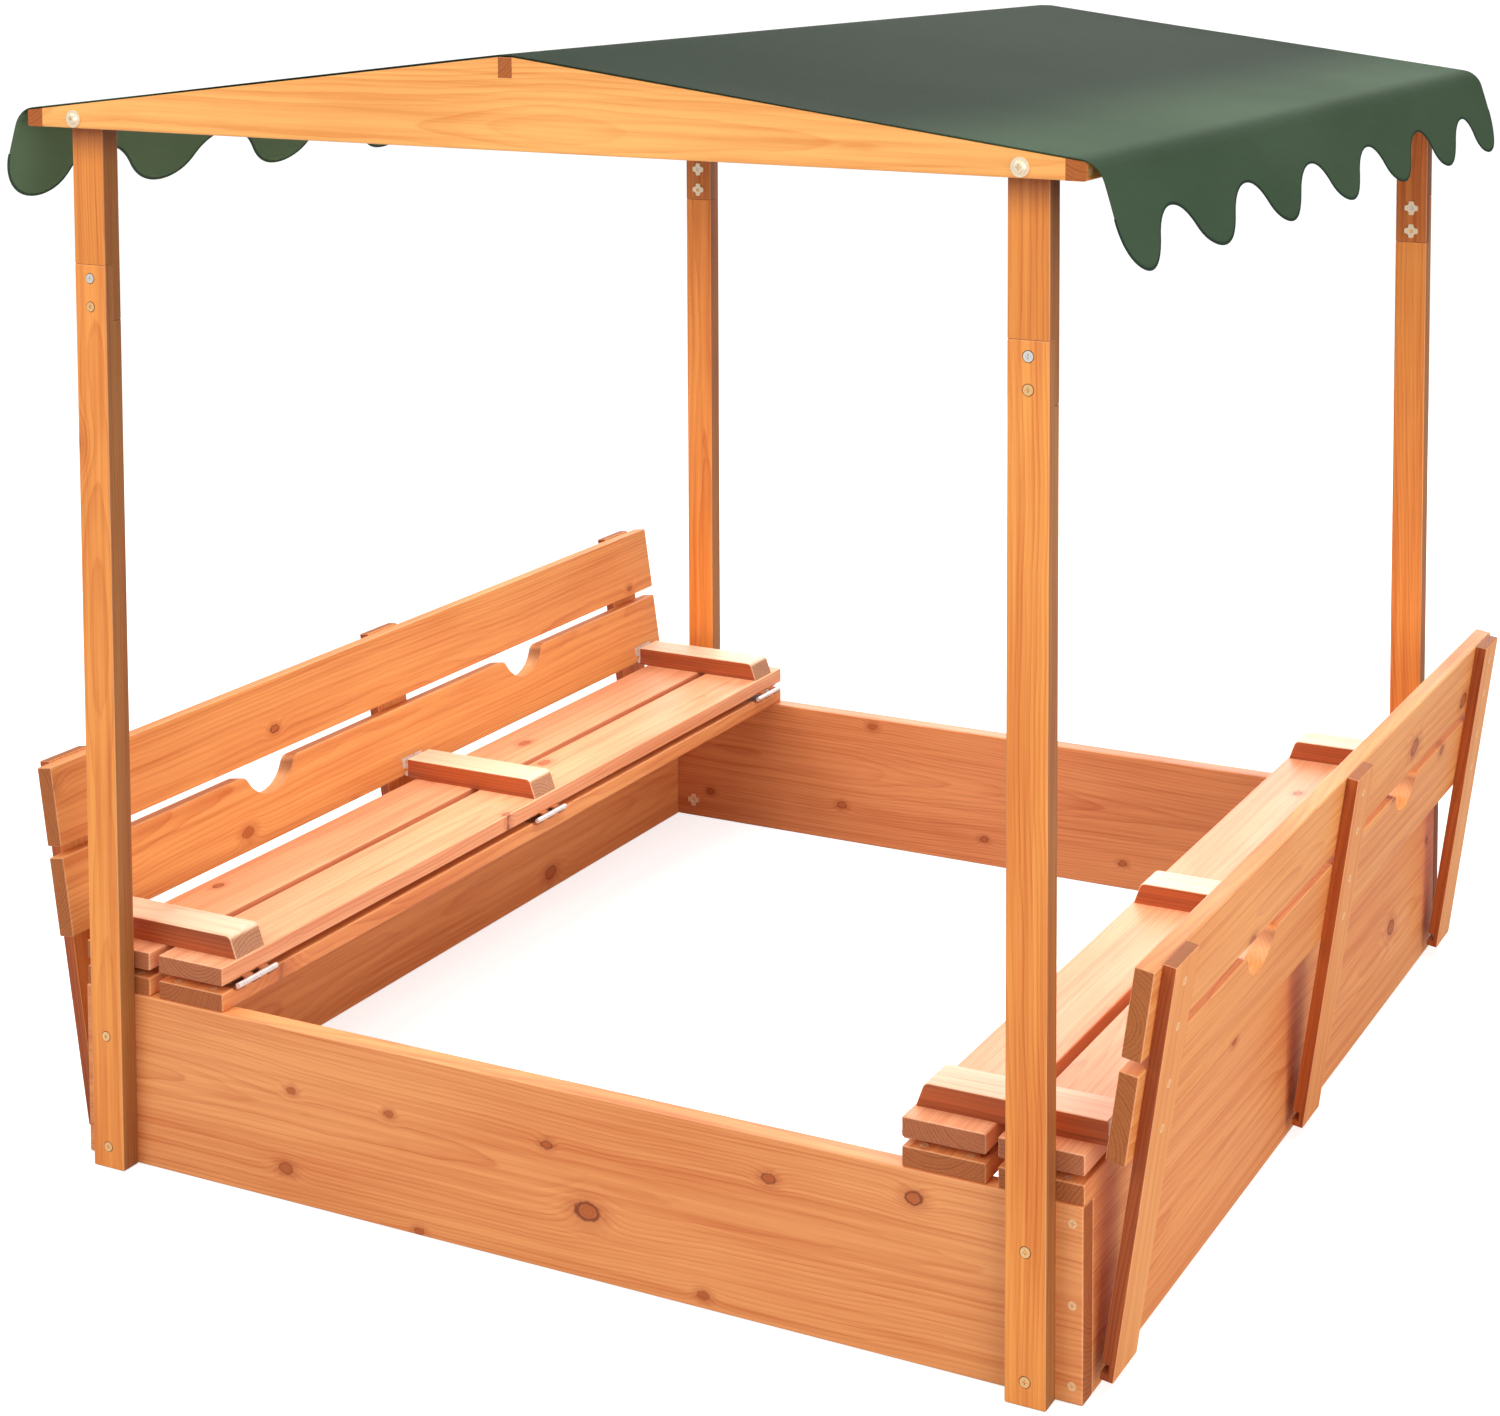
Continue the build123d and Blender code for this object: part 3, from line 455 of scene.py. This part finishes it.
def seat_hinge_material():
    """Bright rolled knuckles, with leaves the colour of the wood that they are let into."""
    steel = metal_material("hinge_knuckle_steel", colour(244, 236, 234), 0.28, 0.08)
    g = Graph(steel.node_tree)
    shader = next(n for n in steel.node_tree.nodes if n.type == "BSDF_PRINCIPLED")
    pin_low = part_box("right_hinge_pins")[0]
    slat_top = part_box("right_seat_inner_slat")[1].z
    axis_x = pin_low.x + PIN_RADIUS
    axis_z = pin_low.z + PIN_RADIUS
    x, _, z = g.split(g.node("ShaderNodeTexCoord").outputs["Object"])
    across = g.math("SUBTRACT", g.math("ABSOLUTE", x), axis_x)
    above = g.math("SUBTRACT", z, axis_z)
    away = g.math("SQRT", g.math("ADD", g.math("POWER", across, 2.0), g.math("POWER", above, 2.0)))
    leaf = g.math("MULTIPLY", g.smooth(away, *KNUCKLE_EDGE), g.math("LESS_THAN", z, slat_top))
    plain = shader.inputs["Base Color"].links[0].from_socket
    g.feed(shader.inputs["Base Color"], g.mix(leaf, plain, colour(176, 104, 60)))
    g.feed(shader.inputs["Metallic"], g.math("MULTIPLY", g.math("SUBTRACT", 1.0, leaf), METAL_SHARE))
    return steel


def rubber_material():
    material, g = new_material("rest_rubber")
    place = g.node("ShaderNodeTexCoord").outputs["Object"]
    grain = g.noise(place, (1500, 1500, 1500), 1.0, 3.0)
    tone = g.mix(g.smooth(grain, 0.3, 0.7), colour(38, 36, 35), colour(58, 55, 53))
    bump = g.node("ShaderNodeBump", {"Height": grain, "Strength": 0.3, "Distance": 0.0003})
    shader = g.node(
        "ShaderNodeBsdfPrincipled",
        {"Base Color": tone, "Roughness": 0.78, "Normal": bump.outputs[0]},
    )
    finish_material(g, shader.outputs[0])
    return material


BRASS = colour(252, 208, 148)
ZINC = colour(236, 234, 230)


def paint_fixings():
    lap_low, lap_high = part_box("post_joint_bolts")
    between_lap_bolts = (lap_low.z + lap_high.z) / 2
    brass = metal_material("brass_plated", BRASS, 0.28)
    pale_brass = metal_material("pale_brass_plated", colour(255, 238, 208), 0.30)
    zinc = metal_material("zinc_plated", ZINC, 0.32)
    lap = metal_material("lap_bolt_plating", BRASS, 0.28, upper=ZINC, above=between_lap_bolts)
    hinge = seat_hinge_material()
    choice = {
        "post_base_bolts": brass, "tee_nuts": pale_brass, "gable_bolts": pale_brass,
        "post_joint_bolts": lap, "seat_rest_pads": rubber_material(),
    }
    sunk = metal_material("sunk_screw_plating", colour(255, 214, 164), 0.45, 0.2)
    for name, node in nodes.items():
        kind = node.data.materials[0].name
        if name == "frame_screws" or name.endswith("backrest_screws"):
            node.data.materials[0] = sunk
        elif name in choice:
            node.data.materials[0] = choice[name]
        elif kind == "hinge_steel":
            node.data.materials[0] = hinge
        elif kind == "zinc_fixings":
            node.data.materials[0] = zinc


paint_fixings()

# ---- canopy ----------------------------------------------------------------------------
canopy_low, canopy_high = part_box("canopy")
beam_low, beam_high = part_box("right_eave_beam")
ridge_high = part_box("ridge_beam")[1]
ROOF_END = canopy_high.y
LOBES = 7
END_LOBE = 0.130              # from the free edge to the middle of the first gap
FIRST_GAP = END_LOBE - ROOF_END
LOBE_PITCH = -2 * FIRST_GAP / (LOBES - 2)
NOTCH_HEIGHT = 0.048
CORNER_RADIUS = 0.048
CLOTH_LIFT = 0.0016           # the sheet's middle above the timbers
CLOTH_THICKNESS = 0.0011
EAVE_BEND = 0.028             # radius of the bend over the eave beam
HEM_FLARE = math.radians(72)  # the valance's slope below the horizontal
PANEL_SAG = 0.004
ROWS_ON_SLOPE = 46
ROWS_ON_BEND = 8
ROWS_ON_VALANCE = 18
COLUMNS = 240
CORNER_COLUMNS = 14
THREAD_PITCH = 0.0011
# painted light in the canvas's tone: a highlight band before the eave bend, lighter valances, palest inner
# faces
HIGHLIGHT_BAND_RISE = (0.36, 0.580)     # distances from the ridge over which the painted highlight band comes in
HIGHLIGHT_BAND_FALL = (0.585, 0.620)    # and goes out
HIGHLIGHT_BAND_GAIN = 1.42
ROOF_LEVEL = 0.74
VALANCE_START = (0.592, 0.625)
VALANCE_LIGHT_GAIN = 0.86
INNER_FACE_LIGHT_GAIN = 2.1
TAPE_RADIUS = 0.0011
TAPE_SIDES = 8


def notch_rise(y):
    """Height of the hem above the lowest lobe points at a place along the roof."""
    nearest = min(max(round((y - FIRST_GAP) / LOBE_PITCH), 0), LOBES - 2)
    offset = y - FIRST_GAP - nearest * LOBE_PITCH
    at_end = (nearest == 0 and offset < 0) or (nearest == LOBES - 2 and offset > 0)
    half = END_LOBE - CORNER_RADIUS if at_end else LOBE_PITCH / 2
    away = abs(offset)
    if away >= half:
        inside = CORNER_RADIUS - (ROOF_END - abs(y))
        return CORNER_RADIUS - math.sqrt(max(CORNER_RADIUS ** 2 - inside ** 2, 0)) if inside > 0 else 0.0
    radius = (half ** 2 + NOTCH_HEIGHT ** 2) / (4 * NOTCH_HEIGHT)
    if away > half / 2:
        return radius - math.sqrt(radius ** 2 - (half - away) ** 2)
    return NOTCH_HEIGHT - radius + math.sqrt(radius ** 2 - away ** 2)


class CanopyProfile:
    """The sheet's section across the ridge, as a path from the ridge line to the hem."""

    def __init__(self):
        self.start = Vector((ridge_high.x, ridge_high.z + CLOTH_LIFT))
        edge = Vector((beam_high.x, beam_high.z - self.drop_over_beam() + CLOTH_LIFT))
        along = (edge - self.start).normalized()
        self.slope = math.atan2(-along.y, along.x)
        self.turn = HEM_FLARE - self.slope
        self.flat = (edge - self.start).length - EAVE_BEND * 0.22
        self.bend = EAVE_BEND * self.turn
        self.along = along
        self.bend_start = self.start + along * self.flat
        inward = Vector((-math.sin(self.slope), -math.cos(self.slope)))
        self.bend_centre = self.bend_start + inward * EAVE_BEND
        self.bend_end = self.bend_point(self.turn)
        self.valance = (self.bend_end.y - canopy_low.z) / math.sin(HEM_FLARE)

    @staticmethod
    def drop_over_beam():
        """How much lower the eave beam's outer top edge is than its inner one."""
        rise = (ridge_high.z - beam_high.z) / (beam_low.x - ridge_high.x)
        return rise * (beam_high.x - beam_low.x)

    def bend_point(self, angle):
        out = self.slope + angle
        return self.bend_centre + EAVE_BEND * Vector((math.sin(out), math.cos(out)))

    def point(self, row, share_of_valance):
        """A path point and its outward direction, for one row of the sheet."""
        if row <= ROWS_ON_SLOPE:
            share = row / ROWS_ON_SLOPE
            share = 1 - (1 - share) ** 1.25
            return self.start + self.along * self.flat * share, self.slope, share
        if row <= ROWS_ON_SLOPE + ROWS_ON_BEND:
            angle = self.turn * (row - ROWS_ON_SLOPE) / ROWS_ON_BEND
            return self.bend_point(angle), self.slope + angle, 1.0
        down = share_of_valance * (row - ROWS_ON_SLOPE - ROWS_ON_BEND) / ROWS_ON_VALANCE
        away = Vector((math.cos(HEM_FLARE), -math.sin(HEM_FLARE)))
        return self.bend_end + away * self.valance * down, HEM_FLARE, 1.0 + down


def ripple(y, phase):
    """Soft unevenness along the roof, within -1..1."""
    return 0.5 * math.sin(5.1 * y + phase) + 0.3 * math.sin(11.7 * y + 2.1 * phase) \
        + 0.2 * math.sin(23.0 * y + 0.7 * phase)


def canopy_point(profile, side, row, y):
    """One vertex of the sheet on one slope of the roof."""
    drop = canopy_low.z + notch_rise(y)
    hang = (profile.bend_end.y - drop) / (profile.bend_end.y - canopy_low.z)
    point, lean, stage = profile.point(row, hang)
    out = Vector((math.sin(lean), math.cos(lean)))
    free = 1 - abs(y / ROOF_END) ** 6
    if stage <= 1.0:
        shape = math.sin(math.pi * stage) if row <= ROWS_ON_SLOPE else 0.0
        push = -PANEL_SAG * shape * free + 0.0007 * shape * ripple(y + 0.4 * stage, 1.3 * side)
    else:
        down = stage - 1.0
        lobe = math.cos(2 * math.pi * (y - FIRST_GAP) / LOBE_PITCH)
        push = down ** 2 * (0.0030 * ripple(y, 2.0 + side) - 0.0035 * lobe - 0.004)
    place = point + out * push
    return Vector((side * place.x, y, place.y))


def canopy_columns():
    """Places along the roof: even in the middle, closer together round the two free corners."""
    turns = [math.pi / 2 * step / CORNER_COLUMNS for step in range(CORNER_COLUMNS)]
    corner = [CORNER_RADIUS * (1 - math.cos(turn)) for turn in turns]
    inner = ROOF_END - CORNER_RADIUS
    middle = [-inner + 2 * inner * step / COLUMNS for step in range(COLUMNS + 1)]
    near = [-ROOF_END + reach for reach in corner]
    far = [ROOF_END - reach for reach in reversed(corner)]
    return near + middle + far


def build_canopy():
    profile = CanopyProfile()
    sheet = bmesh.new()
    columns = canopy_columns()
    rows = ROWS_ON_SLOPE + ROWS_ON_BEND + ROWS_ON_VALANCE
    grid = []
    for y in columns:
        left = [canopy_point(profile, -1, row, y) for row in range(rows, -1, -1)]
        right = [canopy_point(profile, 1, row, y) for row in range(rows + 1)]
        grid.append([sheet.verts.new(co) for co in left + right])
    for near, far in zip(grid, grid[1:]):
        for a, b, c, d in zip(near, near[1:], far[1:], far):
            sheet.faces.new((a, b, c, d))
    for face in sheet.faces:
        face.smooth = True
    mesh = bpy.data.meshes.new("canopy_sheet")
    sheet.to_mesh(mesh)
    hem = [[column[end].co.copy() for column in grid] for end in (0, -1)]
    sheet.free()
    canopy = bpy.data.objects.new("canopy_sheet", mesh)
    bpy.context.scene.collection.objects.link(canopy)
    thick = canopy.modifiers.new("cloth_thickness", "SOLIDIFY")
    thick.thickness = CLOTH_THICKNESS
    thick.offset = 0.0
    return canopy, hem


def fabric_material(name, light, deep):
    """Matt coated canvas: a fine plain weave and a little light through it.

    The tone follows the shading of the photograph: darker over the middle of the roof, lighter
    towards the eaves and on the valances, and palest on the valances' inner faces.
    """
    material, g = new_material(name)
    where = g.node("ShaderNodeTexCoord")
    place = where.outputs["Object"]
    x, y, z = g.split(place)
    across = g.math("ADD", g.math("ABSOLUTE", x), g.math("MULTIPLY", z, -1.0))
    threads = 2 * math.pi / THREAD_PITCH
    warp = g.math("SINE", g.math("MULTIPLY", y, threads))
    weft = g.math("SINE", g.math("MULTIPLY", across, threads))
    weave = g.math("MULTIPLY", warp, weft)
    slub = g.noise(place, (260, 30, 260), 1.0, 2.0)
    cloud = g.noise(place, (3.2, 3.2, 6.0), 4.0, 2.0)
    mottle = g.noise(place, (700, 700, 700), 7.0, 2.0)
    tone = g.mix(g.smooth(cloud, 0.3, 0.72, 0.0, 0.65), light, deep)
    out = g.math("ABSOLUTE", x)
    # painted highlight: a lighter band before the eave bend
    band = g.math("MULTIPLY", g.smooth(out, *HIGHLIGHT_BAND_RISE), g.smooth(out, *HIGHLIGHT_BAND_FALL, 1.0, 0.0))
    level = g.math("MULTIPLY_ADD", band, HIGHLIGHT_BAND_GAIN, ROOF_LEVEL)
    # painted light: the valances are lighter
    level = g.math("ADD", level, g.smooth(out, *VALANCE_START, 0.0, VALANCE_LIGHT_GAIN))
    outward = g.math("MULTIPLY", g.split(where.outputs["Normal"])[0], g.math("SIGN", x))
    # painted light: the valances' inner faces are palest
    level = g.math("ADD", level, g.smooth(outward, -0.8, -0.4, INNER_FACE_LIGHT_GAIN, 0.0))
    tone = g.mix(1.0, tone, g.join(level, level, level), "MULTIPLY")
    thin = g.mix(1.0, tone, (0.75, 0.78, 0.76, 1.0), "MULTIPLY")
    tone = g.mix(g.smooth(slub, 0.35, 0.7, 0.0, 0.16), tone, thin)
    tone = g.mix(g.smooth(weave, -0.8, 0.9, 0.10, 0.0), tone, (0.012, 0.022, 0.016, 1.0))
    height = g.math("ADD", g.math("MULTIPLY", weave, 0.5), g.math("MULTIPLY", mottle, 0.6))
    bump = g.node("ShaderNodeBump", {"Height": height, "Strength": 0.22, "Distance": 0.0003})
    shader = g.node(
        "ShaderNodeBsdfPrincipled",
        {
            "Base Color": tone, "Roughness": g.smooth(mottle, 0.3, 0.7, 0.66, 0.76),
            "Normal": bump.outputs[0], "Specular IOR Level": 0.04,
        },
    )
    through = g.node("ShaderNodeBsdfTranslucent", {"Color": tone, "Normal": bump.outputs[0]})
    both = g.node("ShaderNodeMixShader", {0: 0.12, 1: shader.outputs[0], 2: through.outputs[0]})
    finish_material(g, both.outputs[0])
    return material


def build_binding(name, path, radius):
    """A narrow folded tape sewn round the free edge of a valance."""
    tube = bmesh.new()
    rings = []
    for index, point in enumerate(path):
        ahead = path[min(index + 1, len(path) - 1)] - path[max(index - 1, 0)]
        along = ahead.normalized()
        out = Vector((1 if point.x > 0 else -1, 0, 0.3)).normalized()
        down = along.cross(out).normalized()
        out = down.cross(along).normalized()
        ring = []
        for step in range(TAPE_SIDES):
            angle = 2 * math.pi * step / TAPE_SIDES
            ring.append(tube.verts.new(
                point + out * radius * 0.8 * math.cos(angle) + down * radius * 1.5 * math.sin(angle)))
        rings.append(ring)
    for near, far in zip(rings, rings[1:]):
        for step in range(TAPE_SIDES):
            after = (step + 1) % TAPE_SIDES
            tube.faces.new((near[step], near[after], far[after], far[step]))
    tube.faces.new(rings[0][::-1])
    tube.faces.new(rings[-1])
    bmesh.ops.recalc_face_normals(tube, faces=tube.faces)
    for face in tube.faces:
        face.smooth = True
    mesh = bpy.data.meshes.new(name)
    tube.to_mesh(mesh)
    tube.free()
    piece = bpy.data.objects.new(name, mesh)
    bpy.context.scene.collection.objects.link(piece)
    return piece


canopy, hems = build_canopy()
CANVAS = fabric_material("canopy_canvas", colour(56, 72, 54), colour(45, 61, 44))
TAPE = fabric_material("binding_tape", colour(36, 50, 40), colour(30, 42, 34))
canopy.data.materials.append(CANVAS)
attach(canopy, "frame")
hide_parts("canopy")
for side_name, hem in zip(("left", "right"), hems):
    binding = build_binding(f"{side_name}_valance_binding", hem, TAPE_RADIUS)
    binding.data.materials.append(TAPE)
    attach(binding, "frame")


# ---- stage: floor, light and camera ----------------------------------------------------
FLOOR_RADIUS = 14.0
FLOOR_DROP = 0.0005           # keeps the floor off the undersides of the boards


def build_floor():
    disc = bmesh.new()
    bmesh.ops.create_circle(disc, cap_ends=True, radius=FLOOR_RADIUS, segments=96)
    mesh = bpy.data.meshes.new("floor")
    disc.to_mesh(mesh)
    disc.free()
    floor = bpy.data.objects.new("floor", mesh)
    floor.location.z = -FLOOR_DROP
    bpy.context.scene.collection.objects.link(floor)
    material, g = new_material("pale_floor")
    seen = g.node("ShaderNodeLightPath").outputs["Is Camera Ray"]
    shader = g.node(
        "ShaderNodeBsdfPrincipled",
        {
            "Base Color": (0.52, 0.52, 0.52, 1.0), "Roughness": 0.9, "Specular IOR Level": 0.0,
            "Emission Color": (1, 1, 1, 1), "Emission Strength": g.math("MULTIPLY", seen, 0.74),
        },
    )
    finish_material(g, shader.outputs[0])
    floor.data.materials.append(material)


def build_world():
    world = bpy.data.worlds.new("studio")
    bpy.context.scene.world = world
    world.use_nodes = True
    world.node_tree.nodes.clear()
    g = Graph(world.node_tree)
    seen = g.node("ShaderNodeLightPath").outputs["Is Camera Ray"]
    soft = g.node("ShaderNodeBackground", {"Color": (1, 0.99, 0.98, 1), "Strength": 0.60})
    white = g.node("ShaderNodeBackground", {"Color": (1, 1, 1, 1), "Strength": 1.1})
    both = g.node("ShaderNodeMixShader", {0: seen, 1: soft.outputs[0], 2: white.outputs[0]})
    g.node("ShaderNodeOutputWorld", {"Surface": both.outputs[0]})


def area_light(name, place, target, size, power, spread=180.0):
    lamp = bpy.data.lights.new(name, "AREA")
    lamp.shape = "SQUARE"
    lamp.size = size
    lamp.energy = power
    lamp.spread = math.radians(spread)
    holder = bpy.data.objects.new(name, lamp)
    holder.location = place
    holder.rotation_euler = (Vector(target) - Vector(place)).to_track_quat("-Z", "Y").to_euler()
    holder.visible_camera = False
    bpy.context.scene.collection.objects.link(holder)


def keep_shift_at_home(camera):
    """The lens shift holds only in the photograph's place. Elsewhere the lens looks straight."""
    home = bpy.data.objects.new("photo_camera_home", None)
    home.location = CAMERA_PLACE
    bpy.context.scene.collection.objects.link(home)
    for channel, amount in zip(("shift_x", "shift_y"), CAMERA_SHIFT):
        driver = camera.data.driver_add(channel).driver
        driver.type = "SCRIPTED"
        away = driver.variables.new()
        away.name = "away"
        away.type = "LOC_DIFF"
        away.targets[0].id = camera
        away.targets[1].id = home
        driver.expression = f"{amount} if away < {AT_HOME} else 0.0"


def build_camera():
    lens = bpy.data.cameras.new("photo_camera")
    lens.sensor_width = SENSOR_WIDTH
    lens.lens = CAMERA_LENS
    lens.shift_x, lens.shift_y = CAMERA_SHIFT
    camera = bpy.data.objects.new("photo_camera", lens)
    aim = (CAMERA_TARGET - CAMERA_PLACE).to_track_quat("-Z", "Y").to_matrix()
    turn = aim @ Matrix.Rotation(CAMERA_ROLL, 3, "Z")
    camera.matrix_world = Matrix.Translation(CAMERA_PLACE) @ turn.to_4x4()
    bpy.context.scene.collection.objects.link(camera)
    bpy.context.scene.camera = camera
    keep_shift_at_home(camera)


build_floor()
build_world()
area_light("key", (-1.6, -3.4, 3.0), (0, 0, 0.4), 2.4, 76)
area_light("sky", (0.4, 0.4, 4.2), (0, 0, 0.3), 3.2, 26)
area_light("left", (-2.6, 0.2, 3.6), (-0.4, 0, 0.2), 1.8, 36)
area_light("right", (2.6, 0.0, 3.6), (0.4, 0, 0.2), 1.8, 16)
area_light("low_right", (3.5, -1.7, 0.95), (0.6, 0, 0.3), 3.2, 84)
area_light("behind", (-0.9, 3.2, 1.7), (0, 0, 0.3), 2.8, 80)
area_light("under_roof", (0, 0, 1.06), (0, 0, 0), 1.0, 5.5, 95)
build_camera()
bpy.context.scene.view_settings.view_transform = "Standard"
